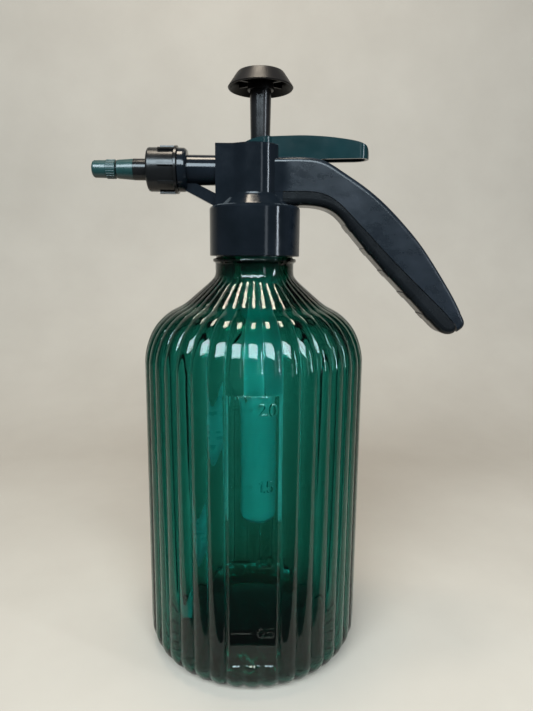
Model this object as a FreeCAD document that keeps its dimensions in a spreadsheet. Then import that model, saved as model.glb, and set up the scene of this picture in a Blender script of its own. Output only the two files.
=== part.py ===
import FreeCAD, Part
import math, os
from FreeCAD import Vector as V

# Hand-pumped pressure mister, about 2 litres.
# Origin: centre of the bottle's base on the table. +Z up, +X towards the handle,
# -X towards the nozzle, -Y is the side with the level panel. Millimetres.

os.makedirs("parts", exist_ok=True)
doc = FreeCAD.newDocument("hand_mister")
sheet = doc.addObject("Spreadsheet::Sheet", "dims")
rows = [0]


class Q:
    """A sheet value and the expression that reads it."""
    def __init__(self, e, v):
        self.e, self.v = e, v

    def _c(self, o):
        return o if isinstance(o, Q) else Q(repr(float(o)), float(o))

    def __add__(self, o):
        o = self._c(o)
        return Q("(%s + %s)" % (self.e, o.e), self.v + o.v)

    def __radd__(self, o):
        return self._c(o) + self

    def __sub__(self, o):
        o = self._c(o)
        return Q("(%s - %s)" % (self.e, o.e), self.v - o.v)

    def __rsub__(self, o):
        return self._c(o) - self

    def __mul__(self, o):
        o = self._c(o)
        return Q("(%s * %s)" % (self.e, o.e), self.v * o.v)

    __rmul__ = __mul__

    def __truediv__(self, o):
        o = self._c(o)
        return Q("(%s / %s)" % (self.e, o.e), self.v / o.v)

    def __neg__(self):
        return Q("(0 - %s)" % self.e, -self.v)


def D(alias, value):
    rows[0] += 1
    sheet.set("A%d" % rows[0], alias)
    sheet.set("B%d" % rows[0], repr(value))
    sheet.setAlias("B%d" % rows[0], alias)
    return Q("dims." + alias, float(value))


def q(x):
    return x if isinstance(x, Q) else Q(repr(float(x)), float(x))


# ---------------------------------------------------------------- dimensions
body_r = D("bottle_radius", 62.0)
lobes = D("lobe_count", 40)
valley = D("valley_depth", 1.5)
base_rad = D("base_round", 14.8)
shoulder_z = D("shoulder_start", 171.0)
cav_r = D("cavity_radius", 59.2)
panel_y = D("panel_plane", 60.3)
panel_w = D("panel_halfwidth", 14.1)
panel_lo = D("panel_bottom", 20.0)
panel_hi = D("panel_top", 164.0)
neck_r = D("neck_radius", 22.0)
neck_bore = D("neck_bore_radius", 19.5)
ring_r = D("support_ring_radius", 23.35)
finish_r = D("finish_radius", 21.9)
neck_top = D("neck_top", 246.0)
skirt_z = D("skirt_bottom", 230.0)
skirt_r = D("skirt_radius", 25.1)
skirt_bore = D("skirt_bore_radius", 22.6)
ceil_z = D("skirt_ceiling", 248.0)
skirt_top = D("skirt_top", 257.0)
tower_r = D("tower_radius", 14.5)
tower_in = D("tower_inner_radius", 12.5)
tower_top = D("tower_top", 288.8)
tower_floor = D("tower_floor", 259.0)
box_x = D("box_end", 21.2)
box_w = D("box_halfwidth", 9.5)
box_z = D("box_bottom", 256.6)
box_fil = D("box_fillet", 9.0)
block_x = D("valve_block_face", 8.94)
block_top = D("valve_block_top", 283.0)
bar_z = D("barrel_height", 276.2)
bar_r = D("barrel_radius", 8.0)
flange_r = D("barrel_flange_radius", 11.6)
flange_x = D("barrel_flange_start", 36.6)
spig_x = D("spigot_start", 41.7)
spig_end = D("spigot_end", 51.0)
spig_r = D("spigot_radius", 9.2)
bar_bore = D("barrel_bore", 2.2)
hand_w = D("handle_halfwidth", 10.0)
hand_wall = D("handle_wall", 2.4)
hand_fil = D("handle_fillet", 2.6)
cov_w = D("cover_halfwidth", 9.8)
seam = D("seam_gap", 0.35)
lev_w = D("lever_halfwidth", 6.5)
lev_wall = D("lever_wall", 1.7)
piv_x = D("pivot_position", 19.0)
piv_z = D("pivot_height", 277.5)
pin_r = D("pin_radius", 1.5)
val_x = D("valve_axis", 15.0)
chamb_r = D("chamber_radius", 3.6)
seat_z = D("seat_height", 262.0)
stem_r = D("stem_radius", 1.6)
pump_x = D("pump_axis", 2.8)
cyl_r = D("cylinder_radius", 10.6)
cyl_in = D("cylinder_bore_radius", 9.4)
cyl_bot = D("cylinder_bottom", 72.5)
fl_r = D("cylinder_flange_radius", 13.2)
knob_top = D("knob_top", 327.0)
knob_rim = D("knob_rim_radius", 17.6)
knob_face = D("knob_face_radius", 12.5)
rod_top_r = D("rod_top_radius", 5.8)
rod_mid_r = D("rod_mid_radius", 5.15)
rod_low_r = D("rod_low_radius", 4.5)
pist_z = D("piston_bottom", 80.0)
pist_r = D("piston_radius", 9.1)
tube_r = D("dip_tube_radius", 2.8)
tube_in = D("dip_tube_bore", 1.9)
nut_r = D("nut_radius", 11.6)
rib_h = D("nut_rib_height", 1.35)
noz_r = D("nozzle_tube_radius", 5.7)
tip_r = D("tip_radius", 4.65)
knurl_r = D("knurl_radius", 5.1)
doc.recompute()


# ------------------------------------------------------------------- helpers
def origin_plane(body, role):
    for f in body.Origin.OriginFeatures:
        if f.Role == role:
            return f


def sketch(body, name, role, loops):
    """Closed straight-sided loops; every corner is tied to the sheet."""
    sk = body.newObject("Sketcher::SketchObject", name)
    sk.AttachmentSupport = [(origin_plane(body, role), "")]
    sk.MapMode = "FlatFace"
    for pts in loops:
        pts = [(q(a), q(b)) for a, b in pts]
        n = len(pts)
        first = sk.GeometryCount
        for i in range(n):
            a, b = pts[i], pts[(i + 1) % n]
            sk.addGeometry(Part.LineSegment(V(a[0].v, a[1].v, 0), V(b[0].v, b[1].v, 0)), False)
        for i in range(n):
            sk.addConstraint(Sketcher.Constraint("Coincident", first + i, 2, first + (i + 1) % n, 1))
        for i, (a, b) in enumerate(pts):
            g = first + i
            if abs(a.v) < 1e-9:
                sk.addConstraint(Sketcher.Constraint("PointOnObject", g, 1, -2))
            else:
                k = sk.addConstraint(Sketcher.Constraint("DistanceX", -1, 1, g, 1, a.v))
                sk.setExpression("Constraints[%d]" % k, a.e)
            if abs(b.v) < 1e-9:
                sk.addConstraint(Sketcher.Constraint("PointOnObject", g, 1, -1))
            else:
                k = sk.addConstraint(Sketcher.Constraint("DistanceY", -1, 1, g, 1, b.v))
                sk.setExpression("Constraints[%d]" % k, b.e)
    return sk


def place(obj, x=0, y=0, z=0, rot=None):
    if rot is not None:
        obj.Placement = FreeCAD.Placement(V(0, 0, 0), rot)
    for ax, val in (("x", x), ("y", y), ("z", z)):
        val = q(val)
        if val.e.startswith("(") or "dims" in val.e:
            obj.setExpression("Placement.Base." + ax, val.e)
        else:
            b = obj.Placement.Base
            setattr(b, ax, val.v)
            obj.Placement.Base = b


def turned(label, loops, x=0, y=0, z=0, about="Z", rot=None):
    """A round piece: its half section turned a full circle about the body's Z or X axis."""
    body = doc.addObject("PartDesign::Body", label)
    body.Label = label
    sk = sketch(body, label + "_section", "XZ_Plane", loops)
    rev = body.newObject("PartDesign::Revolution", label + "_turn")
    rev.Profile = sk
    rev.ReferenceAxis = (sk, ["V_Axis" if about == "Z" else "H_Axis"])
    rev.Angle = 360.0
    body.Tip = rev
    place(body, x, y, z, rot)
    return body


def padded(label, loops, role, length, x=0, y=0, z=0, both=False):
    body = doc.addObject("PartDesign::Body", label)
    body.Label = label
    sk = sketch(body, label + "_outline", role, loops)
    pad = body.newObject("PartDesign::Pad", label + "_pad")
    pad.Profile = sk
    length = q(length)
    pad.Length = length.v
    pad.setExpression("Length", length.e)
    if both:
        pad.Midplane = True
    body.Tip = pad
    place(body, x, y, z)
    return body


def box(label, lx, ly, lz, x, y, z):
    o = doc.addObject("Part::Box", label)
    for p, val in (("Length", lx), ("Width", ly), ("Height", lz)):
        val = q(val)
        setattr(o, p, val.v)
        o.setExpression(p, val.e)
    place(o, x, y, z)
    return o


def cyl(label, r, length, x, y, z, rot=None):
    o = doc.addObject("Part::Cylinder", label)
    for p, val in (("Radius", r), ("Height", length)):
        val = q(val)
        setattr(o, p, val.v)
        o.setExpression(p, val.e)
    place(o, x, y, z, rot)
    return o


def torus(label, mean, sec, x, y, z, rot=None):
    o = doc.addObject("Part::Torus", label)
    for p, val in (("Radius1", mean), ("Radius2", sec)):
        val = q(val)
        setattr(o, p, val.v)
        o.setExpression(p, val.e)
    place(o, x, y, z, rot)
    return o


def fuse(label, parts):
    o = doc.addObject("Part::MultiFuse", label)
    o.Shapes = parts
    o.Label = label
    return o


def cut(label, base, tool):
    o = doc.addObject("Part::Cut", label)
    o.Base = base
    o.Tool = tool
    o.Label = label
    return o


def feature(label, shape):
    o = doc.addObject("Part::Feature", label)
    o.Label = label
    where = shape.Placement
    o.Shape = shape
    o.Placement = where
    return o


import Sketcher

ALONG_Y = FreeCAD.Rotation(V(1, 0, 0), -90)      # cylinder axis along +Y
TO_NOZZLE = FreeCAD.Rotation(V(0, 0, 1), 180)     # local +X points at the nozzle
AXIS_X = FreeCAD.Rotation(V(0, 1, 0), 90)

# -------------------------------------------------------------------- bottle
N = int(round(lobes.v))
step = 2 * math.pi / N


def lobe_wire(r, z):
    """40 convex reeds between sharp valleys; reed 0 faces -Y."""
    d = valley.v * r / body_r.v
    edges = []
    for k in range(N):
        a0 = -math.pi / 2 + (k - 0.5) * step
        am, a1 = a0 + step / 2, a0 + step
        p = [V(rr * math.cos(a), rr * math.sin(a), z) for rr, a in ((r - d, a0), (r, am), (r - d, a1))]
        edges.append(Part.Arc(*p).toShape())
    return Part.Wire(edges)


bc = body_r.v - base_rad.v
base_st = []
for a in (-90, -67.5, -45, -22.5, 0):
    t = math.radians(a)
    base_st.append((bc + base_rad.v * math.cos(t), base_rad.v * (1 + math.sin(t))))
shoulder_st = [(62.0, shoulder_z.v), (61.93, 173.0), (61.68, 175.4), (61.15, 178.2), (59.46, 183.9), (56.88, 189.4), (52.6, 194.9),
               (45.0, 200.3), (38.2, 204.2), (32.6, 208.1), (29.07, 211.3), (25.8, 214.6),
               (22.9, 217.9), (22.0, 219.6)]
foot = Part.makeLoft([lobe_wire(r, z) for r, z in base_st], True, False)
trunk = Part.Face(lobe_wire(body_r.v, base_rad.v)).extrude(V(0, 0, shoulder_z.v - base_rad.v))
shoulder = Part.makeLoft([lobe_wire(r, z) for r, z in shoulder_st], True, False)
bottle_reeds = feature("bottle_reeds", trunk.fuse([foot, shoulder]))

bottle_neck = turned("bottle_neck", [[
    (0, 213.0), (neck_r, 213.0), (neck_r, 226.6), (ring_r, 226.9), (ring_r, 228.7), (finish_r, 228.9),
    (finish_r, neck_top - 0.6), (finish_r - 0.6, neck_top), (0, neck_top)]])
bottle_cavity = turned("bottle_cavity", [[
    (0, 10.9), (15.0, 10.3), (30.0, 7.9), (39.0, 4.6), (45.0, 1.9), (51.3, 2.8), (55.5, 5.6),
    (58.2, 9.8), (cav_r, base_rad), (cav_r, shoulder_z), (58.3, 178.0), (56.7, 183.6),
    (54.0, 189.0), (49.9, 194.0), (42.5, 199.3), (35.9, 203.2), (30.4, 207.1), (27.0, 210.2),
    (23.7, 213.6), (20.9, 217.0), (neck_bore, 219.8), (neck_bore, neck_top + 1.0), (0, neck_top + 1.0)]])
bottle_push_up = turned("bottle_push_up", [[
    (0, -1.0), (44.0, -1.0), (44.0, 0.01), (39.5, 2.6), (30.0, 6.2), (15.0, 8.6), (0, 9.3)]])
panel_cut = box("panel_recess", panel_w * 2, 10.0, panel_hi - panel_lo, -panel_w, -(panel_y + 10.0), panel_lo)
bottle_solid = fuse("bottle_solid", [bottle_reeds, bottle_neck])
bottle_voids = fuse("bottle_voids", [bottle_cavity, bottle_push_up, panel_cut])
bottle = cut("bottle", bottle_solid, bottle_voids)

neck_gasket = turned("neck_gasket", [[
    (neck_bore + 0.1, neck_top + 0.1), (finish_r, neck_top + 0.1), (finish_r, ceil_z - 0.1),
    (neck_bore + 0.1, ceil_z - 0.1)]])

# ---------------------------------------------------------------- head body
head_turned = turned("head_turned", [[
    (skirt_bore, skirt_z), (skirt_r - 0.3, skirt_z), (skirt_r, skirt_z + 0.4), (skirt_r, skirt_top - 1.6),
    (skirt_r - 0.5, skirt_top - 0.6), (skirt_r - 1.6, skirt_top), (20.2, skirt_top + 0.1),
    (tower_r + 1.2, 261.9), (tower_r + 0.3, 262.7), (tower_r, 263.6), (tower_r, tower_top - 0.3),
    (tower_r - 0.3, tower_top), (tower_in, tower_top), (tower_in, tower_floor), (0, tower_floor),
    (0, ceil_z), (skirt_bore, ceil_z)]])

# valve box: flat sides that run into the tower through a hollow fillet
bx, bw, bf, tr = box_x.v, box_w.v, box_fil.v, tower_r.v
cyf = bw + bf
cxf = -math.sqrt((tr + bf) ** 2 - cyf ** 2)
tx, ty = cxf * tr / (tr + bf), cyf * tr / (tr + bf)
am = math.radians(0.5 * (-90 + math.degrees(math.atan2(ty - cyf, tx - cxf))))
mid = (cxf + bf * math.cos(am), cyf + bf * math.sin(am))
outl = [Part.LineSegment(V(-bx, -bw, 0), V(-bx, bw, 0)).toShape(),
        Part.LineSegment(V(-bx, bw, 0), V(cxf, bw, 0)).toShape(),
        Part.Arc(V(cxf, bw, 0), V(mid[0], mid[1], 0), V(tx, ty, 0)).toShape(),
        Part.LineSegment(V(tx, ty, 0), V(tx, -ty, 0)).toShape(),
        Part.Arc(V(tx, -ty, 0), V(mid[0], -mid[1], 0), V(cxf, -bw, 0)).toShape(),
        Part.LineSegment(V(cxf, -bw, 0), V(-bx, -bw, 0)).toShape()]
box_shape = Part.Face(Part.Wire(outl)).extrude(V(0, 0, tower_top.v - box_z.v))
box_shape.translate(V(0, 0, box_z.v))
valve_box = feature("valve_box", box_shape)

barrel = turned("barrel", [[
    (18.0, 0), (18.0, bar_r), (flange_x, bar_r), (flange_x + 0.3, flange_r - 1.2), (flange_x + 1.4, flange_r - 0.2),
    (flange_x + 2.2, flange_r), (spig_x - 0.3, flange_r), (spig_x, flange_r - 0.3), (spig_x, spig_r),
    (spig_end - 0.5, spig_r), (spig_end, spig_r - 0.5), (spig_end, 0)]],
    z=bar_z, about="X", rot=TO_NOZZLE)
strut = padded("strut", [[(20.0, 256.9), (21.4, 256.6), (39.0, 265.6), (39.0, 269.6), (33.5, 269.6), (20.0, 263.0)]],
               "XZ_Plane", 6.4)
strut.Placement = FreeCAD.Placement(V(0, -3.2, 0), FreeCAD.Rotation(V(0, 0, 1), 180))

# handle: outline of the upper shell, seam line and underside, in the XZ plane
TOP = [(8.0, 282.3), (18.0, 282.4), (28.8, 282.3), (34.2, 281.6), (39.6, 279.7), (46.7, 275.6), (57.7, 268.7),
       (69.8, 259.5), (82.0, 247.7), (90.0, 238.9), (98.3, 228.0), (105.7, 217.2), (112.0, 207.4), (116.0, 200.2)]
SEAM = [(113.2, 192.9), (106.4, 200.2), (99.8, 206.5), (93.6, 212.2), (87.5, 217.9), (81.4, 223.6), (75.3, 229.4),
        (69.2, 235.5), (62.7, 242.1), (56.6, 248.2), (51.0, 253.8), (46.3, 258.2), (41.3, 261.6), (36.2, 263.6),
        (31.0, 264.5), (20.0, 264.6), (8.0, 264.6)]
LOW = [(113.6, 188.2), (111.0, 187.2), (107.2, 187.7), (102.1, 191.5), (91.9, 201.9), (83.4, 210.6), (75.1, 219.0),
       (66.8, 227.7), (58.5, 236.9), (50.8, 246.0), (45.9, 251.6), (40.8, 255.0), (34.5, 256.8), (27.0, 257.4),
       (10.0, 257.5)]


def curve(pts):
    c = Part.BSplineCurve()
    c.interpolate([V(x, 0, z) for x, z in pts])
    return c.toShape()


def line(a, b):
    return Part.LineSegment(V(a[0], 0, a[1]), V(b[0], 0, b[1])).toShape()


def chain(pts):
    return [line(pts[i], pts[i + 1]) for i in range(len(pts) - 1)]


def shift(pts, d):
    """Points moved by d to the left of the direction of travel."""
    out = []
    for i, p in enumerate(pts):
        a, b = pts[max(0, i - 1)], pts[min(len(pts) - 1, i + 1)]
        dx, dz = b[0] - a[0], b[1] - a[1]
        n = math.hypot(dx, dz)
        out.append((p[0] - dz / n * d, p[1] + dx / n * d))
    return out


def slab(edges, w):
    s = Part.Face(Part.Wire(edges)).extrude(V(0, 2 * w, 0))
    s.translate(V(0, -w, 0))
    return s


TIP = [TOP[-1], (118.0, 196.2), (118.7, 193.8), (118.1, 191.6), (116.6, 190.0), (114.8, 188.8)]
tip_curve = curve(TIP)
shell = slab([curve(TOP), tip_curve, line(TIP[-1], SEAM[0]), curve(SEAM), line(SEAM[-1], TOP[0])], hand_w.v)
tops = []
for e in shell.Edges:
    bb = e.BoundBox
    if bb.YLength < 1e-6 and abs(abs(bb.YMin) - hand_w.v) < 1e-6 and bb.XLength > 80 and bb.ZMax > 280:
        tops.append(e)
    elif bb.YLength < 1e-6 and abs(abs(bb.YMin) - hand_w.v) < 1e-6 and bb.XMin > 114.3 and bb.ZMax > 195:
        tops.append(e)
shell = shell.makeFillet(hand_fil.v, tops)
cav_top = shift(TOP, -hand_wall.v)[:-1]
cav_top = [p for p in cav_top]
cav_low = [(104.0, 196.0), (91.3, 208.0), (74.7, 224.0), (58.2, 241.0), (44.0, 258.0), (36.0, 261.0), (15.2, 261.5),
           (15.2, 265.4), (9.0, 265.4)]
handle_void = slab(chain([(9.0, cav_top[0][1])] + cav_top[1:] + [(112.0, 200.0)] + cav_low + [(9.0, cav_top[0][1])]),
                   hand_w.v - hand_wall.v)
lever_slot = Part.makeBox(37.0, 15.2, 20.0, V(9.0, -7.6, 270.0))
root = Part.makeBox(7.0, 2 * cov_w.v, 8.2, V(8.0, -cov_w.v, 257.3))
handle_shell = feature("handle_shell", shell.fuse(root))
handle_hollow = feature("handle_hollow", handle_void.fuse(lever_slot))

head_mass = fuse("head_mass", [head_turned, valve_box, barrel, strut, handle_shell])
tower_round = cyl("tower_hollow", tower_in, 32.0, 0, 0, tower_floor)
tower_limit = box("tower_limit", 40.0, 40.0, 40.0, -block_x, -20.0, tower_floor - 1.0)
tower_void = doc.addObject("Part::MultiCommon", "tower_void")
tower_void.Shapes = [tower_round, tower_limit]
nose_pocket = box("nose_pocket", 14.2, 14.6, 8.0, -(box_x - 2.2), -7.3, block_top)
chamber = cyl("valve_chamber", chamb_r, 18.0, -val_x, 0, seat_z)
gland_pocket = cyl("gland_pocket", 5.05, 4.0, -val_x, 0, block_top - 3.5)
inlet = cyl("valve_inlet", 1.9, 8.0, -val_x, 0, seat_z - 7.5)
tube_socket = cyl("tube_socket", tube_r + 0.02, 8.6, -14.0, 0, ceil_z - 0.1)
bore_x = cyl("barrel_bore_hole", bar_bore, 40.0, -52.0, 0, bar_z, rot=AXIS_X)
cyl_seat = cyl("cylinder_seat", cyl_r + 0.02, 8.6, pump_x, 0, ceil_z - 0.1)
rod_hole = cyl("rod_passage", 7.0, 4.0, pump_x, 0, 256.0)
pin_hole = cyl("pin_hole", pin_r, 25.0, piv_x, -9.2, piv_z, rot=ALONG_Y)
head_voids = fuse("head_voids", [tower_void, nose_pocket, chamber, gland_pocket, inlet, tube_socket, bore_x,
                                 cyl_seat, rod_hole, pin_hole, handle_hollow])
head_body = cut("head_body", head_mass, head_voids)

# lower grip strip, hollow, with five raised finger bands that wrap round under it
low_top = shift(SEAM, seam.v)
low_top[-1] = (10.0, SEAM[-1][1] - seam.v)
cover_out = slab([curve(low_top), line(low_top[-1], LOW[-1]), curve(list(reversed(LOW))), line(LOW[0], low_top[0])],
                 cov_w.v)
unders = [e for e in cover_out.Edges if e.BoundBox.YLength < 1e-6 and e.BoundBox.XLength > 80 and e.BoundBox.ZMin < 190]
cover_out = cover_out.makeFillet(3.6, unders)
inner_low = shift(LOW[3:-1], -hand_wall.v)
cover_in = slab(chain(inner_low + [(24.0, 266.0), (36.0, 266.5), (48.0, 262.5), (62.0, 248.5), (80.0, 229.5),
                                   (108.0, 202.5), inner_low[0]]), cov_w.v - hand_wall.v)
pad_h = 0.35
low_proud = shift(LOW, pad_h)
proud = slab([curve(low_top), line(low_top[-1], low_proud[-1]), curve(list(reversed(low_proud))),
              line(low_proud[0], low_top[0])], cov_w.v + pad_h)
unders = [e for e in proud.Edges if e.BoundBox.YLength < 1e-6 and e.BoundBox.XLength > 80 and e.BoundBox.ZMin < 190]
proud = proud.makeFillet(3.6 + pad_h, unders)
pads = []
for px, pz in ((52.6, 246.9), (63.9, 234.8), (75.4, 223.5), (87.2, 211.2), (99.5, 199.6)):
    bar = Part.makeBox(16.0, 30.0, 4.8, V(0, -15.0, -2.4))
    bar = bar.fuse(Part.makeCylinder(2.4, 30.0, V(0, -15.0, 0), V(0, 1, 0)))
    bar.rotate(V(0, 0, 0), V(0, 1, 0), 180.0 - 44.5)
    bar.translate(V(px, 0, pz))
    pads.append(proud.common(bar))
cover = cover_out.fuse(pads).cut(cover_in)
keep = Part.makeCylinder(25.2, 40, V(0, 0, 217.2)).fuse(
    [Part.makeCone(20.4, 14.7, 5.7, V(0, 0, 257.0)), Part.makeCylinder(14.7, 30, V(0, 0, 262.0)),
     Part.makeBox(15.1 - 6, 30, 12, V(6, -15, 255.0))])
cover = cover.cut(keep)
handle_cover = feature("handle_cover", cover.Solids[0] if len(cover.Solids) == 1 else max(cover.Solids, key=lambda s: s.Volume))

# ------------------------------------------------------------- thumb lever
L_TOP = [(-9.0, 288.5), (-4.0, 290.5), (3.4, 292.5), (14.1, 293.4), (26.4, 293.8), (34.1, 293.6), (41.8, 293.1),
         (49.5, 292.2), (55.6, 291.1), (58.8, 290.1)]
prof = ([line((-18.0, 284.0), (-18.0, 287.0)), line((-18.0, 287.0), (-12.5, 287.0)), line((-12.5, 287.0), L_TOP[0]),
         curve(L_TOP), curve([L_TOP[-1], (61.2, 288.2), (62.0, 285.6), (62.4, 282.7)])] +
        chain([(62.4, 282.7), (36.5, 281.9), (30.0, 280.5), (25.0, 279.0), (13.5, 279.0), (12.0, 283.8),
               (-18.0, 284.0)]))
side_view = slab(prof, 12.0)
w = lev_w.v


def stadium(x0, x1, r, z0, z1):
    s = Part.makeCylinder(r, z1 - z0, V(x0, 0, z0)).fuse(Part.makeCylinder(r, z1 - z0, V(x1, 0, z0)))
    if x1 > x0:
        s = s.fuse(Part.makeBox(x1 - x0, 2 * r, z1 - z0, V(x0, -r, z0)))
    return s


plan = stadium(0.3, 2.8, 8.9, 270, 300).fuse([
    Part.makeBox(52.5, 2 * w, 30, V(3.4, -w, 270)), Part.makeCylinder(w, 30, V(55.9, 0, 270)),
    Part.makeBox(14.0, 10.0, 30, V(-18.0, -5.0, 270))]).removeSplitter()
lever = side_view.common(plan).removeSplitter()
rim = []
for e in lever.Edges:
    bb = e.BoundBox
    c = e.CenterOfMass
    if c.z > 286.3 and c.x > 10 and abs(abs(c.y) - w) < 1.5 and bb.XLength > 20 and bb.ZMin > 287:
        rim.append(e)
try:
    crowned = lever.makeFillet(2.0, rim)
    if crowned.isValid() and crowned.Volume > 0.8 * lever.Volume:
        lever = crowned
except Exception:
    pass
in_prof = chain([(13.0, 291.3), (26.4, 291.9), (41.8, 291.2), (55.6, 289.2), (59.4, 287.6), (60.6, 284.0), (60.9, 270.0),
                 (13.0, 270.0), (13.0, 291.3)])
in_plan = Part.makeBox(42.9, 2 * (w - lev_wall.v), 30, V(13.0, -(w - lev_wall.v), 265)).fuse(
    Part.makeCylinder(w - lev_wall.v, 30, V(55.9, 0, 265)))
lever = lever.cut(slab(in_prof, 12.0).common(in_plan))
lugs = []
for side in (-1, 1):
    y0 = -w if side < 0 else w - lev_wall.v
    lugs.append(Part.makeCylinder(3.8, lev_wall.v, V(piv_x.v, y0, piv_z.v), V(0, 1, 0)))
    lugs.append(Part.makeBox(7.6, lev_wall.v, 4.0, V(piv_x.v - 3.8, y0, piv_z.v)))
lever = lever.fuse(lugs)
lever = lever.cut([stadium(0.5, 3.1, 6.7, 260, 300), Part.makeBox(5.5, 3.8, 30, V(-18.1, -1.9, 270)),
                   Part.makeCylinder(pin_r.v + 0.05, 20, V(piv_x.v, -10, piv_z.v), V(0, 1, 0))])
trigger_lever = feature("trigger_lever", lever.removeSplitter())
lever_pivot_pin = cyl("lever_pivot_pin", pin_r, 19.0, piv_x, -9.1, piv_z, rot=ALONG_Y)

# -------------------------------------------------------------------- valve
valve_stem = turned("valve_stem", [[
    (0, seat_z + 2.0), (3.0, seat_z + 2.0), (3.0, seat_z + 3.4), (stem_r, seat_z + 3.4), (stem_r, 287.3),
    (2.6, 287.3), (2.6, 288.4), (2.2, 288.7), (0, 288.7)]], x=-val_x)
valve_seal = turned("valve_seal", [[
    (0, seat_z + 0.05), (2.8, seat_z + 0.05), (3.0, seat_z + 0.3), (3.0, seat_z + 2.0), (0, seat_z + 2.0)]], x=-val_x)
valve_gland = turned("valve_gland", [[
    (stem_r + 0.06, block_top - 3.4), (5.0, block_top - 3.4), (5.0, block_top), (3.2, block_top),
    (3.2, block_top - 0.4), (stem_r + 0.06, block_top - 0.4), (stem_r + 0.06, block_top - 0.9), (2.9, block_top - 0.9),
    (2.9, block_top - 2.4), (stem_r + 0.06, block_top - 2.4)]], x=-val_x)
gland_o_ring = torus("gland_o_ring", stem_r + 0.67, 0.6, -val_x, 0, block_top - 1.65)
helix = Part.makeHelix(2.0, 13.0, 2.45)
wire_r = 0.4
prof_c = Part.Wire([Part.makeCircle(wire_r, V(2.45, 0, 0), V(0, 1, 0.13))])
spring = Part.Wire(helix.Edges).makePipeShell([prof_c], True, True)
spring.translate(V(-val_x.v, 0, seat_z.v + 3.95))
valve_spring = feature("valve_spring", spring)

# ------------------------------------------------------------------- nozzle
nut_round = turned("nut_round", [[
    (41.9, spig_r + 0.05), (41.9, 12.4), (42.1, 12.7), (43.3, 12.7), (43.6, 12.4), (43.9, nut_r + 0.1), (52.0, nut_r),
    (57.2, nut_r), (57.9, nut_r - 0.3), (58.3, nut_r - 1.0), (58.3, noz_r + 0.1), (55.05, noz_r + 0.1), (55.05, spig_r + 0.05)]],
    about="X", rot=TO_NOZZLE)
ribs = []
for k in range(8):
    rb = doc.addObject("Part::Box", "nut_rib%d" % k)
    rb.Length, rb.Width, rb.Height = 8.6, 1.5, 2.2
    rb.setExpression("Height", (rib_h + 0.85).e)
    a = 45.0 * k - 6.6
    rot = FreeCAD.Rotation(V(1, 0, 0), a)
    off = rot.multVec(V(0, -0.75, nut_r.v - 0.85))
    rb.Placement = FreeCAD.Placement(V(-51.9, 0, 0) + off, rot)
    ribs.append(rb)
nozzle_nut = fuse("nozzle_nut", [nut_round] + ribs)
nozzle_nut.setExpression("Placement.Base.z", bar_z.e)

nozzle_washer = turned("nozzle_washer", [[
    (spig_end, 2.4), (spig_end, 8.8), (52.5, 8.8), (52.5, 2.4)]], z=bar_z, about="X", rot=TO_NOZZLE)
nozzle_tube = turned("nozzle_tube", [[
    (52.5, 1.8), (52.5, 8.8), (55.0, 8.8), (55.0, noz_r), (66.0, noz_r), (66.0, 4.0), (74.2, 4.0), (74.2, 3.0),
    (82.6, 3.0), (82.6, 1.8)]], z=bar_z, about="X", rot=TO_NOZZLE)
nozzle_sleeve = turned("nozzle_sleeve", [[
    (66.0, 4.0), (66.0, 5.45), (66.2, 5.6), (74.7, 4.98), (75.0, 4.8), (75.0, 4.0)]],
    z=bar_z, about="X", rot=TO_NOZZLE)
nozzle_core_round = turned("nozzle_core_round", [[
    (78.6, 0), (78.6, 1.8), (82.6, 1.8), (82.6, 2.6), (84.3, 2.6), (84.3, 0)]], z=bar_z, about="X", rot=TO_NOZZLE)
core_slots = fuse("core_slots", [box("core_slot_a", 0.9, 0.7, 6.0, -84.4, 0.6, bar_z - 3.0),
                                 box("core_slot_b", 0.9, 0.7, 6.0, -84.4, -1.3, bar_z - 3.0)])
nozzle_core = cut("nozzle_core", nozzle_core_round, core_slots)
tip_round = turned("tip_round", [[
    (75.8, 3.1), (75.8, knurl_r - 0.3), (76.1, knurl_r), (80.7, knurl_r), (81.0, knurl_r - 0.3), (81.0, tip_r + 0.05),
    (87.3, tip_r - 0.05), (88.1, tip_r - 0.5), (88.5, tip_r - 1.2), (88.5, 1.7), (87.3, 0.5), (85.2, 0.5), (85.2, 3.1),
    (79.4, 3.1), (79.4, 3.95), (78.0, 3.95), (78.0, 3.1)]], z=bar_z, about="X", rot=TO_NOZZLE)
grips = []
for k in range(24):
    g = Part.makeCylinder(0.34, 4.4, V(-80.6, 0, 0), V(1, 0, 0))
    a = 2 * math.pi * k / 24
    g.translate(V(0, (knurl_r.v + 0.12) * math.cos(a), (knurl_r.v + 0.12) * math.sin(a)))
    grips.append(g)
tip_flutes = feature("tip_flutes", Part.makeCompound(grips))
tip_flutes.setExpression("Placement.Base.z", bar_z.e)
nozzle_tip = cut("nozzle_tip", tip_round, tip_flutes)
nozzle_o_ring = torus("nozzle_o_ring", 3.47, 0.42, -78.7, 0, bar_z, rot=AXIS_X)

# --------------------------------------------------------------------- pump
cyl_round = turned("cylinder_round", [[
    (0, cyl_bot), (5.2, cyl_bot), (8.3, cyl_bot + 0.9), (cyl_r - 0.5, cyl_bot + 3.0), (cyl_r, cyl_bot + 5.6),
    (cyl_r, 243.5), (fl_r, 243.5), (fl_r, 246.0), (cyl_r, 246.0), (cyl_r, 254.4), (cyl_in, 254.4),
    (cyl_in, cyl_bot + 5.6), (cyl_in - 0.5, cyl_bot + 3.7), (7.3, cyl_bot + 2.2), (4.9, cyl_bot + 1.6),
    (0, cyl_bot + 1.6)]], x=pump_x)
ports = [cyl("port_stem", 0.9, 4.0, pump_x, 0, cyl_bot - 1.0)]
for k, (ox, oy) in enumerate(((2.9, 0), (-2.9, 0), (0, 2.9), (0, -2.9))):
    ports.append(cyl("port_%d" % k, 0.8, 4.0, pump_x + ox, oy, cyl_bot - 1.0))
pump_cylinder = cut("pump_cylinder", cyl_round, fuse("cylinder_ports", ports))
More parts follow.
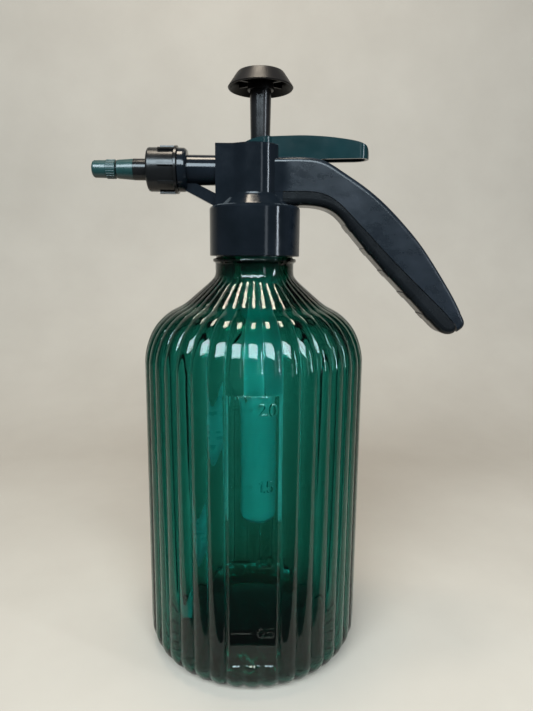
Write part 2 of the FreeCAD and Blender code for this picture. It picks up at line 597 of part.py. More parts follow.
cylinder_o_ring = torus("cylinder_o_ring", cyl_r + 1.3, 1.0, pump_x, 0, 247.0)
rod_guide = turned("rod_guide", [[
    (5.4, 244.0), (cyl_in - 0.05, 244.0), (cyl_in - 0.05, 254.4), (cyl_r - 0.05, 254.4), (cyl_r - 0.05, 256.4),
    (5.4, 256.4)]], x=pump_x)
foot_valve = turned("foot_valve", [[
    (0, cyl_bot - 1.5), (3.6, cyl_bot - 1.4), (4.6, cyl_bot - 0.6), (4.6, cyl_bot), (0.9, cyl_bot), (0.9, cyl_bot + 1.6),
    (1.4, cyl_bot + 1.7), (1.2, cyl_bot + 2.4), (0, cyl_bot + 2.8)]], x=pump_x)
plunger_rod = turned("plunger_rod", [[
    (0, pist_z + 0.6), (2.9, pist_z + 0.6), (2.9, pist_z + 12.0), (rod_low_r, pist_z + 12.0), (rod_mid_r, 285.0),
    (rod_top_r, 317.0), (rod_top_r, 324.4), (0, 324.4)]], x=pump_x)
knob_round = turned("knob_round", [[
    (0, 324.4), (rod_top_r, 324.4), (rod_top_r, 317.6), (7.0, 317.6), (7.2, 324.6), (11.6, 324.8), (16.4, 318.9),
    (16.8, 318.4), (knob_rim - 0.3, 318.5), (knob_rim, 319.0), (knob_face + 0.6, 325.6), (knob_face, 326.3),
    (knob_face - 1.2, 326.7), (8.0, knob_top - 0.05), (0, knob_top)]], x=pump_x)
kribs = []
for k in range(6):
    rb = doc.addObject("Part::Box", "knob_rib%d" % k)
    rb.Length, rb.Width, rb.Height = 6.6, 1.3, 4.7
    rot = FreeCAD.Rotation(V(0, 0, 1), 60.0 * k + 30)
    rb.Placement = FreeCAD.Placement(V(pump_x.v, 0, 320.6) + rot.multVec(V(6.6, -0.65, 0)), rot)
    kribs.append(rb)
pump_knob = fuse("pump_knob", [knob_round] + kribs)
piston = turned("piston", [[
    (2.9, pist_z), (pist_r - 0.4, pist_z), (pist_r, pist_z + 0.4), (pist_r, pist_z + 5.0), (7.95, pist_z + 5.0),
    (7.95, pist_z + 7.4), (pist_r, pist_z + 7.4), (pist_r, pist_z + 11.6), (pist_r - 0.4, pist_z + 12.0),
    (2.9, pist_z + 12.0)]], x=pump_x)
piston_o_ring = torus("piston_o_ring", 8.65, 0.68, pump_x, 0, pist_z + 6.2)

# ----------------------------------------------------------------- dip tube
# straight runs joined by tangent arcs, all in the XZ plane
route = [(-14.0, 256.4), (-14.0, 205.0), (-21.6, 143.0), (-31.6, 80.0), (-45.3, 6.5)]


def rounded_path(pts, share=0.42):
    edges, prev = [], V(pts[0][0], 0, pts[0][1])
    for i in range(1, len(pts) - 1):
        a, b, c = (V(p[0], 0, p[1]) for p in pts[i - 1:i + 2])
        u, w2 = (b - a).normalize(), (c - b).normalize()
        run = min((V(pts[i][0], 0, pts[i][1]) - V(pts[i - 1][0], 0, pts[i - 1][1])).Length,
                  (V(pts[i + 1][0], 0, pts[i + 1][1]) - V(pts[i][0], 0, pts[i][1])).Length)
        half = math.acos(max(-1, min(1, u.dot(w2)))) / 2
        t = share * run
        R = t / math.tan(half)
        b = V(pts[i][0], 0, pts[i][1])
        s, e = b - u * t, b + w2 * t
        m = (w2 - u).normalize()
        mid_p = b + m * (R / math.cos(half) - R)
        print("dip tube bend radius %.0f mm" % R)
        edges.append(Part.LineSegment(prev, s).toShape())
        edges.append(Part.Arc(s, mid_p, e).toShape())
        prev = e
    edges.append(Part.LineSegment(prev, V(pts[-1][0], 0, pts[-1][1])).toShape())
    return Part.Wire(edges)


path = rounded_path(route)
start = V(route[0][0], 0, route[0][1])
outer = path.makePipeShell([Part.Wire([Part.makeCircle(tube_r.v, start, V(0, 0, -1))])], True, False)
inner = path.makePipeShell([Part.Wire([Part.makeCircle(tube_in.v, start, V(0, 0, -1))])], True, False)
print("dip tube volume / expected", outer.Volume / (math.pi * tube_r.v ** 2 * path.Length), "length", path.Length)
dip_tube = feature("dip_tube", outer.cut(inner))

doc.recompute()

NODES = [bottle, neck_gasket, head_body, handle_cover, trigger_lever, lever_pivot_pin, valve_stem, valve_seal,
         valve_spring, valve_gland, gland_o_ring, nozzle_nut, nozzle_washer, nozzle_tube, nozzle_sleeve, nozzle_core,
         nozzle_tip, nozzle_o_ring, dip_tube, pump_cylinder, cylinder_o_ring, rod_guide, foot_valve, plunger_rod,
         pump_knob, piston, piston_o_ring]
bad = []
for o in doc.Objects:
    if "Invalid" in o.State or "Error" in o.State:
        bad.append("%s: %s" % (o.Name, o.State))
for o in NODES:
    s = o.Shape
    if s.isNull() or not s.isValid() or not s.Solids:
        bad.append("%s: bad shape" % o.Label)
if bad:
    raise RuntimeError("; ".join(bad))
for o in NODES:
    s = o.Shape
    s.exportStep("parts/%s.step" % o.Label)
    bb = s.BoundBox
    print("%-16s solids %d vol %.1f  x %.2f..%.2f  y %.2f..%.2f  z %.2f..%.2f" % (
        o.Label, len(s.Solids), s.Volume, bb.XMin, bb.XMax, bb.YMin, bb.YMax, bb.ZMin, bb.ZMax))
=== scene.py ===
import math

import bmesh
import bpy
import numpy as np
from mathutils import Matrix, Vector


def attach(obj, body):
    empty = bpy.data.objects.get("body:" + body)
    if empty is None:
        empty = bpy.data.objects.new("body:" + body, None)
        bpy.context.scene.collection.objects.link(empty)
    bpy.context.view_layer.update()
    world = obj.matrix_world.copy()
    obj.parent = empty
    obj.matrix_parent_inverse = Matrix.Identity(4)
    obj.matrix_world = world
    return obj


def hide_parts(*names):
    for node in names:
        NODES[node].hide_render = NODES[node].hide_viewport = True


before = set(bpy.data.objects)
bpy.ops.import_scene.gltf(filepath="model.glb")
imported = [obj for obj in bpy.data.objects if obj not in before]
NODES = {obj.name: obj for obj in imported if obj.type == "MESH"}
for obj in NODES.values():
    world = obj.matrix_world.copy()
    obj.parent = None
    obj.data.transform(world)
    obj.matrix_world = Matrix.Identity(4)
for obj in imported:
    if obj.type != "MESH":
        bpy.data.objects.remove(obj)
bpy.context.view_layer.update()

MM = 0.001


# ------------------------------------------------------------------ mesh helpers
def new_object(name, verts, faces, smooth=True, sharp=None):
    me = bpy.data.meshes.new(name)
    me.from_pydata([tuple(map(float, v)) for v in verts], [], [tuple(f) for f in faces])
    me.validate()
    me.update()
    if smooth:
        me.shade_smooth()
        if sharp is not None:
            me.set_sharp_from_angle(angle=math.radians(sharp))
    ob = bpy.data.objects.new(name, me)
    bpy.context.scene.collection.objects.link(ob)
    return ob


def grid_faces(rows, cols, off=0, flip=False, wrap=True):
    a = np.arange(rows - 1)[:, None] * cols
    j = np.arange(cols if wrap else cols - 1)[None, :]
    jn = (j + 1) % cols
    q = np.stack([a + j, a + jn, a + cols + jn, a + cols + j], -1).reshape(-1, 4) + off
    return q[:, ::-1] if flip else q


def mesh_from_arrays(name, verts, quads, tris=(), sharp=None):
    me = bpy.data.meshes.new(name)
    quads = np.asarray(quads, np.int32).reshape(-1, 4)
    tris = np.asarray(tris, np.int32).reshape(-1, 3)
    nl = quads.size + tris.size
    me.vertices.add(len(verts))
    me.vertices.foreach_set("co", np.asarray(verts, np.float32).ravel())
    me.loops.add(nl)
    me.loops.foreach_set("vertex_index", np.concatenate([quads.ravel(), tris.ravel()]))
    me.polygons.add(len(quads) + len(tris))
    starts = np.concatenate([np.arange(len(quads)) * 4, quads.size + np.arange(len(tris)) * 3])
    me.polygons.foreach_set("loop_start", starts.astype(np.int32))
    me.update(calc_edges=True)
    me.validate()
    me.shade_smooth()
    if sharp is not None:
        me.set_sharp_from_angle(angle=math.radians(sharp))
    ob = bpy.data.objects.new(name, me)
    bpy.context.scene.collection.objects.link(ob)
    return ob


def spline(xs, ys, x):
    """Natural cubic spline through the points."""
    xs, ys, x = np.asarray(xs, float), np.asarray(ys, float), np.asarray(x, float)
    n = len(xs)
    hh = np.diff(xs)
    A = np.zeros((n, n))
    b = np.zeros(n)
    A[0, 0] = A[-1, -1] = 1
    for i in range(1, n - 1):
        A[i, i - 1], A[i, i], A[i, i + 1] = hh[i - 1], 2 * (hh[i - 1] + hh[i]), hh[i]
        b[i] = 6 * ((ys[i + 1] - ys[i]) / hh[i] - (ys[i] - ys[i - 1]) / hh[i - 1])
    m = np.linalg.solve(A, b)
    i = np.clip(np.searchsorted(xs, x) - 1, 0, n - 2)
    t, u = x - xs[i], xs[i + 1] - x
    return ((m[i] * u ** 3 + m[i + 1] * t ** 3) / (6 * hh[i]) + (ys[i] / hh[i] - m[i] * hh[i] / 6) * u
            + (ys[i + 1] / hh[i] - m[i + 1] * hh[i] / 6) * t)


def curve_through(pts, n):
    """n points evenly spaced along a smooth curve through pts."""
    p = np.asarray(pts, float)
    s = np.concatenate([[0], np.cumsum(np.linalg.norm(np.diff(p, axis=0), axis=1))])
    d = np.linspace(0, s[-1], 40 * len(p))
    c = np.stack([spline(s, p[:, k], d) for k in range(p.shape[1])], 1)
    L = np.concatenate([[0], np.cumsum(np.linalg.norm(np.diff(c, axis=0), axis=1))])
    e = np.linspace(0, L[-1], n)
    return np.stack([np.interp(e, L, c[:, k]) for k in range(p.shape[1])], 1)


def smoothstep(a, b, x):
    t = np.clip((x - a) / (b - a), 0, 1)
    return t * t * (3 - 2 * t)


# ---------------------------------------------------------------- the bottle, mm
R0, NL, DEPTH = 62.0, 40, 1.5
STEP = 360.0 / NL
LOBE_R = 7.5


def lobe(deg):
    """How far the reeded surface stands back from its crest circle at that angle (0 at a crest)."""
    d = (np.asarray(deg) + STEP / 2) % STEP - STEP / 2
    a = np.radians(d)
    c0 = R0 - LOBE_R
    return c0 * np.cos(a) + np.sqrt(LOBE_R ** 2 - (c0 * np.sin(a)) ** 2) - R0


def seg_dist(px, py, segs):
    d = np.full(px.shape, 1e9)
    for (x0, y0), (x1, y1) in segs:
        vx, vy = x1 - x0, y1 - y0
        t = np.clip(((px - x0) * vx + (py - y0) * vy) / (vx * vx + vy * vy + 1e-12), 0, 1)
        d = np.minimum(d, np.hypot(px - x0 - t * vx, py - y0 - t * vy))
    return d


def arc_pts(cx, cy, rx, ry, a0, a1, n=14):
    t = np.radians(np.linspace(a0, a1, n))
    return [(cx + rx * math.cos(v), cy + ry * math.sin(v)) for v in t]


def links(p):
    return list(zip(p[:-1], p[1:]))


def glyph(ch):
    """Strokes in a box 3 wide and 5.4 high, in mm, and the advance."""
    if ch == "0":
        return links(arc_pts(1.5, 2.7, 1.4, 2.7, 0, 360, 28)), 3.7
    if ch == "1":
        return links([(0.4, 4.3), (1.5, 5.4), (1.5, 0)]), 2.7
    if ch == "2":
        return links(arc_pts(1.5, 3.95, 1.4, 1.45, 165, -35, 16) + [(0.1, 0.0), (3.0, 0.0)]), 3.7
    if ch == "5":
        return links([(2.8, 5.4), (0.5, 5.4), (0.3, 3.0)] + arc_pts(1.4, 1.75, 1.5, 1.75, 128, -140, 18)), 3.7
    return links([(0.35, 0.1), (0.36, 0.1)]), 1.4


MARKS = ((157.0, "2.0"), (118.2, "1.5"), (78.1, "1.0"), (39.3, "0.5"))


def marks(x, z):
    """Raised height, in mm, of the capacity marks on the level panel."""
    h = np.zeros(x.shape)
    for zc, text in MARKS:
        near = np.abs(z - zc) < 6
        if not near.any():
            continue
        px, pz = x[near], z[near]
        bar = seg_dist(px, pz, [((-10.2, zc), (-1.6, zc))]) - 0.78
        d = np.full(px.shape, 9.0)
        u = 2.6
        for ch in text:
            segs, adv = glyph(ch)
            segs = [((a[0] + u, a[1] + zc - 2.7), (b[0] + u, b[1] + zc - 2.7)) for a, b in segs]
            d = np.minimum(d, seg_dist(px, pz, segs) - (0.52 if ch == "." else 0.36))
            u += adv
        h[near] = np.maximum(h[near], 0.34 * (1 - smoothstep(-0.35, 0.3, d)))
        h[near] = np.maximum(h[near], 0.2 * (1 - smoothstep(-0.6, 0.35, bar)))
    # two thin wavy flow lines that cross under the level panel's upper edge
    near = np.abs(z - 163.0) < 3
    if near.any():
        for sg in (1, -1):
            pts = [(v, 162.9 + sg * 0.62 * math.sin(2 * math.pi * (v + 1.0) / 12.5)) for v in np.linspace(-8.6, 9.4, 40)]
            d = seg_dist(x[near], z[near], links(pts)) - 0.12
            h[near] = np.maximum(h[near], 0.26 * (1 - smoothstep(-0.1, 0.42, d)))
    return h


def make_bottle():
    # columns: 0 degrees is -Y, the level panel's centre
    t = np.array([-1, -0.965, -0.88, -0.76, -0.6, -0.4, -0.2, 0, 0.2, 0.4, 0.6, 0.76, 0.88, 0.965])
    cols = []
    for k in range(NL):
        if k in (0, 1, NL - 1):
            continue
        cols += list(k * STEP + t * STEP / 2)
    cols += list(np.linspace(-13.5, 13.5, 101)[:-1])
    cols = np.sort(np.where(np.array(cols) > 180, np.array(cols) - 360, cols))
    ang = np.radians(cols - 90)

    # rows: underside, rounding, trunk, shoulder, neck, ring, finish
    rows = []                                              # r, z, reed depth factor
    dome = curve_through([(0.6, 9.3), (14, 8.7), (27, 7.0), (36, 4.3), (41.5, 1.9), (44.5, 0.55), (46.2, 0.05)], 26)
    for r, z in dome:
        rows.append((r, z, 0.75 * smoothstep(38, 46, r)))
    for a in np.radians(np.linspace(-88, 0, 19)):
        rows.append((47.2 + 14.8 * math.cos(a), 14.8 * (1 + math.sin(a)), 0.78 + 0.22 * smoothstep(0, 12, 14.8 * (1 + math.sin(a)))))
    zz = set(np.round(np.linspace(15.5, 170.5, 44), 2))
    for zc, _ in MARKS:
        zz |= set(np.round(np.arange(zc - 3.6, zc + 3.7, 0.3), 2))
    for e in (panel_lo, panel_hi):
        zz |= set(np.round(np.arange(e - 2.4, e + 2.6, 0.4), 2)) | set(np.round(np.arange(e - 0.9, e + 0.91, 0.15), 2))
    for z in sorted(zz):
        rows.append((R0, z, 1.0))
    sh = [(62.0, 171.0), (61.95, 172.6), (61.66, 175.4), (61.12, 178.3), (59.46, 183.9), (56.88, 189.4), (52.6, 194.9),
          (45.0, 200.4), (41.6, 202.1), (38.6, 204.1), (35.8, 206.4), (33.0, 208.8), (30.2, 211.2), (27.4, 213.6), (25.3, 215.5), (23.6, 217.3),
          (22.4, 219.2), (22.0, 221.4)]
    for r, z in curve_through(sh, 74)[1:]:
        rows.append((r, z, r / R0 * (1 - smoothstep(214.5, 220.0, z)) if z > 171 else 1.0))
    neck = [(22.0, 222.5), (22.0, 225.6), (22.15, 226.2), (22.6, 226.55), (23.15, 226.75), (23.35, 227.1), (23.35, 228.2),
            (23.15, 228.6), (22.4, 228.75), (21.75, 228.85), (21.6, 229.2)]
    for r, z in neck:
        rows.append((r, z, 0.0))
    for z in np.arange(229.7, 244.9, 0.35):
        rows.append((21.6, z, 0.0))
    rows += [(21.6, 245.1, 0.0), (21.5, 245.6, 0.0), (21.15, 245.95, 0.0), (20.6, 246.0, 0.0), (20.0, 245.95, 0.0),
             (19.65, 245.7, 0.0), (19.5, 245.3, 0.0)]
    rows = np.array(rows)
    r, z, k = rows[:, 0][:, None], rows[:, 1][:, None], rows[:, 2][:, None]
    off = lobe(cols)[None, :]
    rr = r + k * off
    near = np.abs((cols + STEP / 2) % STEP)
    near = np.minimum(near, STEP - near)[None, :]
    rr = rr - 0.22 * k * np.clip(1 - near / 0.15, 0, 1)
    # screw thread on the finish
    turn = (z - 230.6) / 4.0 - cols[None, :] / 360.0
    ph = np.abs((turn + 0.5) % 1.0 - 0.5) * 4.0
    on = smoothstep(0.0, 0.25, turn) * (1 - smoothstep(2.75, 3.0, turn)) * (z > 229.5) * (z < 245)
    rr = rr + 0.75 * (1 - smoothstep(0.35, 1.15, ph)) * on
    # level panel: a flat that fills three reeds, with sloped borders
    flat = 60.6 / np.cos(np.radians(cols))[None, :]
    edge = np.abs(cols)[None, :]
    side = 1 - smoothstep(10.9, 13.3, edge)
    in_z = smoothstep(panel_lo - 0.45, panel_lo + 0.45, z) * (1 - smoothstep(panel_hi - 0.45, panel_hi + 0.45, z))
    on_trunk = ((k > 0.99) & (z < 171)).astype(float)
    want = np.where(edge < 13.5, flat * side + (R0 - DEPTH) * (1 - side), rr)
    want = want - 0.3 * np.clip(1 - np.abs(edge - 13.5) / 0.3, 0, 1)
    rr = rr * (1 - in_z * on_trunk) + want * in_z * on_trunk
    x = rr * np.cos(ang)[None, :]
    y = rr * np.sin(ang)[None, :]
    zz2 = np.broadcast_to(z, x.shape).copy()
    lift = marks(x, zz2) * (edge < 12) * in_z * on_trunk
    y = y - lift
    outer = np.stack([x, y, zz2], -1).reshape(-1, 3)
    nr, nc = x.shape

    # inside wall: follows the reeds more softly
    ti = np.array([-1, -0.86, -0.6, -0.3, 0, 0.3, 0.6, 0.86])
    ci = np.sort(np.concatenate([kk * STEP + ti * STEP / 2 for kk in range(NL)]))
    ci = np.where(ci > 180, ci - 360, ci)
    ci = np.sort(ci)
    ai = np.radians(ci - 90)
    inner = []
    for q in ((19.5, 244.0, 0), (19.5, 236.0, 0), (19.5, 229.0, 0), (19.5, 224.5, 0), (19.6, 221.5, 0)):
        inner.append(q)
    shi = [(19.6, 221.5), (20.3, 219.0), (21.9, 216.6), (24.3, 213.9), (27.6, 210.7), (31.3, 207.2), (37.0, 203.1), (43.9, 199.1),
           (51.3, 193.9), (55.5, 188.7), (58.1, 183.4), (59.75, 178.0), (60.3, 175.2), (60.6, 172.4), (60.65, 170.0)]
    for q in curve_through(shi, 44)[1:]:
        inner.append((q[0], q[1], 0.8 * q[0] / R0 * (1 - smoothstep(212, 219, q[1]))))
    for q in np.linspace(167, 16.5, 34):
        inner.append((60.65, q, 0.8))
    for a in np.radians(np.linspace(-4, -88, 15)):
        inner.append((47.2 + 13.4 * math.cos(a), 15.0 + 13.4 * math.sin(a), 0.8))
    for q in curve_through([(45.6, 1.8), (44, 2.3), (41, 4.3), (35.6, 7.4), (26.6, 10.4), (13.8, 12.3), (0.6, 12.9)], 22):
        inner.append((q[0], q[1], 0.6 * smoothstep(36, 46, q[0])))
    inner = np.array(inner)
    ri, zi, ki = inner[:, 0][:, None], inner[:, 1][:, None], inner[:, 2][:, None]
    rri = ri + ki * lobe(ci)[None, :] * 0.9
    inz = smoothstep(panel_lo, panel_lo + 2.5, zi) * (1 - smoothstep(panel_hi - 2.5, panel_hi, zi)) * (zi < 171)
    lim = 59.35 / np.cos(np.radians(np.clip(ci, -20, 20)))[None, :]
    side = (np.abs(ci)[None, :] < 12.6)
    rri = np.where(side, rri * (1 - inz) + lim * inz, rri)
    xi, yi = rri * np.cos(ai)[None, :], rri * np.sin(ai)[None, :]
    innerv = np.stack([xi, yi, np.broadcast_to(zi, xi.shape)], -1).reshape(-1, 3)
    mr, mc = xi.shape

    verts = np.concatenate([outer, innerv, [[0, 0, 9.3]], [[0, 0, 12.9]]])
    o2 = nr * nc
    quads = [grid_faces(nr, nc), grid_faces(mr, mc, o2)]
    ca, cb = len(verts) - 2, len(verts) - 1
    tris = []
    for j in range(nc):
        tris.append((ca, (j + 1) % nc, j))
    last = o2 + (mr - 1) * mc
    for j in range(mc):
        tris.append((cb, last + j, last + (j + 1) % mc))
    # lip: join the outer grid's last row to the inner grid's first
    a0, b0 = (nr - 1) * nc, o2
    i = j = 0
    while i < nc or j < mc:
        na = cols[(i + 1) % nc] + (360 if i + 1 >= nc else 0)
        nb = ci[(j + 1) % mc] + (360 if j + 1 >= mc else 0)
        if j >= mc or (i < nc and na <= nb):
            tris.append((a0 + i % nc, a0 + (i + 1) % nc, b0 + j % mc))
            i += 1
        else:
            tris.append((a0 + i % nc, b0 + (j + 1) % mc, b0 + j % mc))
            j += 1
    return mesh_from_arrays("bottle_clear_shell", verts * MM, np.concatenate(quads), tris)


panel_lo, panel_hi = 20.0, 164.0
bottle = make_bottle()


# ---------------------------------------------------------------------- materials
def nodes_of(name):
    m = bpy.data.materials.new(name)
    m.use_nodes = True
    nt = m.node_tree
    for n in list(nt.nodes):
        nt.nodes.remove(n)
    out = nt.nodes.new("ShaderNodeOutputMaterial")
    bs = nt.nodes.new("ShaderNodeBsdfPrincipled")
    nt.links.new(bs.outputs["BSDF"], out.inputs["Surface"])
    return m, nt, bs, out


def link(nt, a, b):
    nt.links.new(a, b)


def ramp(nt, fac, stops):
    r = nt.nodes.new("ShaderNodeValToRGB")
    e = r.color_ramp.elements
    e[0].position, e[0].color = stops[0][0], (*stops[0][1], 1)
    e[1].position, e[1].color = stops[-1][0], (*stops[-1][1], 1)
    for p, c in stops[1:-1]:
        q = e.new(p)
        q.color = (*c, 1)
    link(nt, fac, r.inputs["Fac"])
    return r.outputs["Color"]


def noise(nt, scale, detail=3.0, rough=0.5, vec=None, stretch=None):
    tc = nt.nodes.new("ShaderNodeTexCoord")
    src = tc.outputs["Object"]
    if stretch is not None:
        mp = nt.nodes.new("ShaderNodeMapping")
        mp.inputs["Scale"].default_value = stretch
        link(nt, src, mp.inputs["Vector"])
        src = mp.outputs["Vector"]
    n = nt.nodes.new("ShaderNodeTexNoise")
    n.inputs["Scale"].default_value = scale
    n.inputs["Detail"].default_value = detail
    n.inputs["Roughness"].default_value = rough
    link(nt, src, n.inputs["Vector"])
    return n.outputs["Fac"]


def mapr(nt, val, lo, hi, a=0.3, b=0.7):
    m = nt.nodes.new("ShaderNodeMapRange")
    m.inputs["From Min"].default_value = a
    m.inputs["From Max"].default_value = b
    m.inputs["To Min"].default_value = lo
    m.inputs["To Max"].default_value = hi
    link(nt, val, m.inputs["Value"])
    return m.outputs["Result"]


def bump(nt, height, dist, strength=1.0, normal=None):
    b = nt.nodes.new("ShaderNodeBump")
    b.inputs["Distance"].default_value = dist
    b.inputs["Strength"].default_value = strength
    link(nt, height, b.inputs["Height"])
    if normal is not None:
        link(nt, normal, b.inputs["Normal"])
    return b.outputs["Normal"]


def plastic(name, dark, light, rough_lo, rough_hi, grain=None, grain_d=0.00004, wavy=0.00003, ior=1.5, spec=0.5, scratches=True,
            patch=35.0):
    """Moulded plastic: colour clouds, uneven gloss from handling, fine mould grain and a slightly wavy skin."""
    m, nt, bs, out = nodes_of(name)
    c = noise(nt, patch, 4.0, 0.6)
    link(nt, ramp(nt, c, [(0.3, dark), (0.7, light)]), bs.inputs["Base Color"])
    g1 = noise(nt, 60.0, 5.0, 0.65)
    r = mapr(nt, g1, rough_lo, rough_hi)
    link(nt, r, bs.inputs["Roughness"])
    bs.inputs["IOR"].default_value = ior
    bs.inputs["Specular IOR Level"].default_value = spec
    n = bump(nt, noise(nt, 90.0, 2.0), wavy)
    if grain:
        n = bump(nt, noise(nt, grain, 2.0, 0.6), grain_d, 1.0, n)
    if scratches:
        s = noise(nt, 700.0, 2.0, 0.7, stretch=(1.0, 1.0, 0.06))
        n = bump(nt, s, 0.000006, 0.6, n)
    link(nt, n, bs.inputs["Normal"])
    return m


def glass_green():
    m, nt, bs, out = nodes_of("green_pet")
    bs.inputs["Base Color"].default_value = (1, 1, 1, 1)
    bs.inputs["Transmission Weight"].default_value = 1.0
    bs.inputs["IOR"].default_value = 1.4
    bs.inputs["Specular IOR Level"].default_value = 0.5
    link(nt, mapr(nt, noise(nt, 26.0, 4.0, 0.6), 0.0, 0.05), bs.inputs["Roughness"])
    n = bump(nt, noise(nt, 32.0, 2.0, 0.5), 0.00012)
    link(nt, n, bs.inputs["Normal"])
    va = nt.nodes.new("ShaderNodeVolumeAbsorption")
    va.inputs["Color"].default_value = (0.10, 0.71, 0.665, 1)
    va.inputs["Density"].default_value = 2250.0
    link(nt, va.outputs["Volume"], out.inputs["Volume"])
    return m


def head_black():
    """Glossy where the cap and tower are, satin with faint smears along the handle."""
    m, nt, bs, out = nodes_of("black_head")
    tc = nt.nodes.new("ShaderNodeTexCoord")
    sx = nt.nodes.new("ShaderNodeSeparateXYZ")
    link(nt, tc.outputs["Object"], sx.inputs[0])
    f = mapr(nt, sx.outputs["X"], 0.0, 1.0, 0.0145, 0.0205)

    def mix(a, b, kind="FLOAT"):
        x = nt.nodes.new("ShaderNodeMix")
        x.data_type = kind
        link(nt, f, x.inputs[0])
        i = {"FLOAT": (2, 3, 0), "RGBA": (6, 7, 2)}[kind]
        link(nt, a, x.inputs[i[0]])
        link(nt, b, x.inputs[i[1]])
        return x.outputs[i[2]]

    bs.inputs["Specular IOR Level"].default_value = 0.27
    gloss = ramp(nt, noise(nt, 35.0, 4.0, 0.6), [(0.3, (0.003, 0.0045, 0.006)), (0.7, (0.006, 0.008, 0.011))])
    smear = noise(nt, 42.0, 6.0, 0.68, stretch=(1.0, 1.0, 1.7))
    satin = ramp(nt, smear, [(0.3, (0.003, 0.0045, 0.007)), (0.5, (0.0045, 0.007, 0.010)), (0.72, (0.008, 0.011, 0.016))])
    link(nt, mix(gloss, satin, "RGBA"), bs.inputs["Base Color"])
    r1 = mapr(nt, noise(nt, 70.0, 5.0, 0.65), 0.07, 0.17)
    r2 = mapr(nt, smear, 0.19, 0.36)
    link(nt, mix(r1, r2), bs.inputs["Roughness"])
    peel = bump(nt, noise(nt, 150.0, 2.0, 0.5), 0.00005)
    fine = noise(nt, 3400.0, 2.0, 0.6)
    g = nt.nodes.new("ShaderNodeMath")
    g.operation = "MULTIPLY_ADD"
    link(nt, f, g.inputs[0])
    g.inputs[1].default_value = 0.9
    g.inputs[2].default_value = 0.1
    h = nt.nodes.new("ShaderNodeMath")
    h.operation = "MULTIPLY"
    link(nt, fine, h.inputs[0])
    link(nt, g.outputs[0], h.inputs[1])
    n = bump(nt, h.outputs[0], 0.00003, 1.0, peel)
    sc = noise(nt, 620.0, 2.0, 0.7, stretch=(1.0, 1.0, 0.05))
    link(nt, bump(nt, sc, 0.000006, 0.5, n), bs.inputs["Normal"])
    return m


black_gloss = plastic("black_gloss", (0.004, 0.004, 0.004), (0.008, 0.008, 0.008), 0.16, 0.3, grain=2600.0, grain_d=0.000008, spec=0.3)
black_rod = plastic("black_rod_gloss", (0.005, 0.005, 0.005), (0.010, 0.009, 0.009), 0.15, 0.28, grain=2600.0, grain_d=0.00001, spec=0.4)
black_satin = plastic("black_satin", (0.003, 0.0035, 0.004), (0.006, 0.007, 0.008), 0.16, 0.3, grain=3800.0, grain_d=0.00003, spec=0.22)
green_lever = plastic("green_lever_gloss", (0.0025, 0.012, 0.013), (0.0045, 0.019, 0.021), 0.09, 0.19, grain=3000.0, grain_d=0.00001, spec=0.3)
green_nozzle = plastic("green_nozzle_semi", (0.005, 0.024, 0.022), (0.009, 0.033, 0.031), 0.24, 0.4, grain=3200.0, grain_d=0.00002)
rubber = plastic("black_rubber", (0.01, 0.01, 0.01), (0.02, 0.02, 0.02), 0.55, 0.75, grain=2500.0, grain_d=0.00004, scratches=False)

# The knob's near-black base colour is tinted warm: a painted warm sheen that copies the ceiling lamp's reflection on
# its top.
knob_black_painted_sheen = plastic("black_knob_satin_painted_sheen", (0.005, 0.004, 0.004), (0.011, 0.009, 0.008), 0.3, 0.46, grain=2600.0, grain_d=0.00002, spec=0.2)
white_pp = plastic("natural_white", (0.80, 0.86, 0.84), (0.86, 0.91, 0.89), 0.3, 0.45, grain=1800.0, grain_d=0.00002)
white_pp.node_tree.nodes["Principled BSDF"].inputs["Subsurface Weight"].default_value = 0.0

m, nt, bs, out = nodes_of("milky_tube")
bs.inputs["Base Color"].default_value = (0.9, 0.95, 0.94, 1)
bs.inputs["Transmission Weight"].default_value = 0.3
bs.inputs["IOR"].default_value = 1.45
link(nt, mapr(nt, noise(nt, 200.0, 3.0), 0.25, 0.4), bs.inputs["Roughness"])
milky = m


def metal(name, col_a, col_b, lo, hi):
    m, nt, bs, out = nodes_of(name)
    link(nt, ramp(nt, noise(nt, 120.0, 3.0), [(0.3, col_a), (0.7, col_b)]), bs.inputs["Base Color"])
    bs.inputs["Metallic"].default_value = 1.0
    link(nt, mapr(nt, noise(nt, 400.0, 3.0), lo, hi), bs.inputs["Roughness"])
    link(nt, bump(nt, noise(nt, 1500.0, 2.0, 0.6, stretch=(1, 1, 0.1)), 0.00001), bs.inputs["Normal"])
    return m


steel = metal("steel_wire", (0.55, 0.55, 0.56), (0.66, 0.66, 0.67), 0.2, 0.35)
brass = metal("turned_brass", (0.62, 0.46, 0.2), (0.72, 0.56, 0.28), 0.2, 0.35)
pet = glass_green()


def dress(ob, mat):
    ob.data.materials.clear()
    ob.data.materials.append(mat)


BY_NODE = {
    "head_body": head_black(), "handle_cover": black_satin, "valve_gland": black_gloss, "nozzle_nut": black_gloss,
    "nozzle_tube": black_gloss, "plunger_rod": black_rod, "pump_knob": knob_black_painted_sheen, "trigger_lever": green_lever,
    "nozzle_sleeve": green_nozzle, "nozzle_tip": green_nozzle, "pump_cylinder": white_pp, "rod_guide": white_pp,
    "piston": white_pp, "dip_tube": milky, "lever_pivot_pin": steel, "valve_stem": steel, "valve_spring": steel,
    "nozzle_core": brass, "bottle": pet}
for n, ob in NODES.items():
    dress(ob, BY_NODE.get(n, rubber))

dress(bottle, pet)
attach(bottle, "bottle")
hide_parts("bottle")

# -------------------------------------------------------------------- stage, light
m, nt, bs, out = nodes_of("pale_floor")
link(nt, ramp(nt, noise(nt, 9.0, 5.0, 0.6), [(0.3, (0.350, 0.300, 0.250)), (0.7, (0.380, 0.328, 0.275))]), bs.inputs["Base Color"])
bs.inputs["Roughness"].default_value = 0.75
floor_mat = m


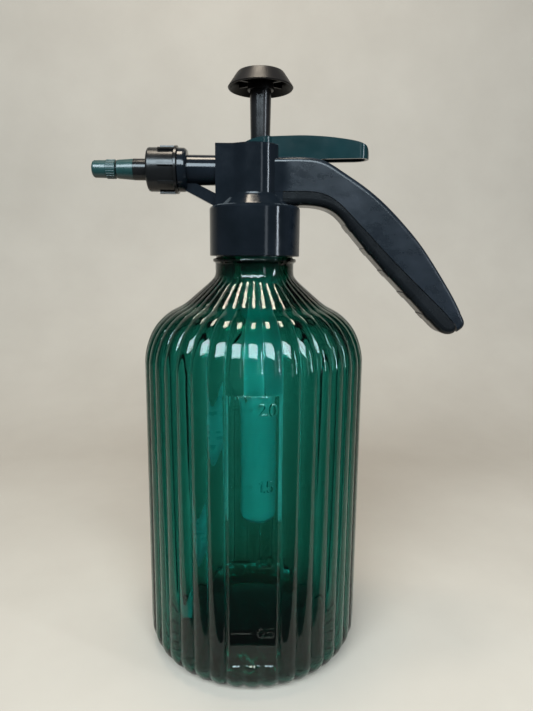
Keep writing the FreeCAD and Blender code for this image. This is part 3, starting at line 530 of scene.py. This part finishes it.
def sweep():
    """A pale floor that curves up into a backdrop."""
    prof = [(-0.108, -0.30), (-0.108, -0.010), (-0.1055, -0.003), (-0.099, 0.0), (0.30, 0.0)]
    for a in np.radians(np.linspace(-80, 0, 12)):
        prof.append((0.30 + 0.35 * math.cos(a), 0.35 + 0.35 * math.sin(a)))
    prof.append((0.65, 2.2))
    v = [(x, y, z) for y, z in prof for x in (-2.4, 2.4)]
    f = [(2 * i, 2 * i + 1, 2 * i + 3, 2 * i + 2) for i in range(len(prof) - 1)]
    return new_object("backdrop", v, f, True)


stage = sweep()
dress(stage, floor_mat)


def area(name, loc, target, size, power, color=(1, 1, 1), size_y=None):
    l = bpy.data.lights.new(name, "AREA")
    l.energy = power
    l.color = color
    l.shape = "RECTANGLE"
    l.size = size
    l.size_y = size_y or size
    o = bpy.data.objects.new(name, l)
    o.location = loc
    d = Vector(target) - Vector(loc)
    o.rotation_euler = d.to_track_quat("-Z", "Y").to_euler()
    bpy.context.scene.collection.objects.link(o)
    return o


area("window", (-0.12, -0.93, 0.86), (0, 0, 0.18), 1.35, 39.0, (0.76, 0.91, 1.0), 0.46)
area("door", (0.57, -1.04, 0.34), (0, 0, 0.22), 0.13, 0.6, (0.80, 0.90, 1.0), 0.5)
area("slit", (1.02, -0.62, 0.45), (0, 0, 0.25), 0.08, 4.0, (0.80, 0.90, 1.0), 0.6)
area("ceiling", (-0.06, 0.0, 1.20), (-0.03, 0.0, 0.1), 0.30, 6.5, (1.0, 0.88, 0.72), 0.32)
w = bpy.data.worlds.new("studio")
bpy.context.scene.world = w
bpy.context.scene.view_settings.view_transform = "Standard"
w.use_nodes = True
w.node_tree.nodes["Background"].inputs["Color"].default_value = (0.86, 0.9, 0.96, 1)
w.node_tree.nodes["Background"].inputs["Strength"].default_value = 0.1

# --------------------------------------------------------------------- camera
F, TH, ROLL, YAW = 545.453, math.radians(9.646), math.radians(-0.499), math.radians(1.32)
fw = Vector((math.sin(YAW) * math.cos(TH), math.cos(YAW) * math.cos(TH), -math.sin(TH)))
r0 = Vector((math.cos(YAW), -math.sin(YAW), 0))
d0 = fw.cross(r0)
right = r0 * math.cos(ROLL) + d0 * math.sin(ROLL)
down = r0 * -math.sin(ROLL) + d0 * math.cos(ROLL)
cam = bpy.data.cameras.new("camera")
cam.sensor_width = 36.0
cam.lens = F / 711.0 * 36.0
cam.clip_start = 0.01
co = bpy.data.objects.new("camera", cam)
co.matrix_world = Matrix(((right.x, -down.x, -fw.x, 0.0), (right.y, -down.y, -fw.y, -0.31291),
                          (right.z, -down.z, -fw.z, 0.22648), (0, 0, 0, 1)))
bpy.context.scene.collection.objects.link(co)
bpy.context.scene.camera = co
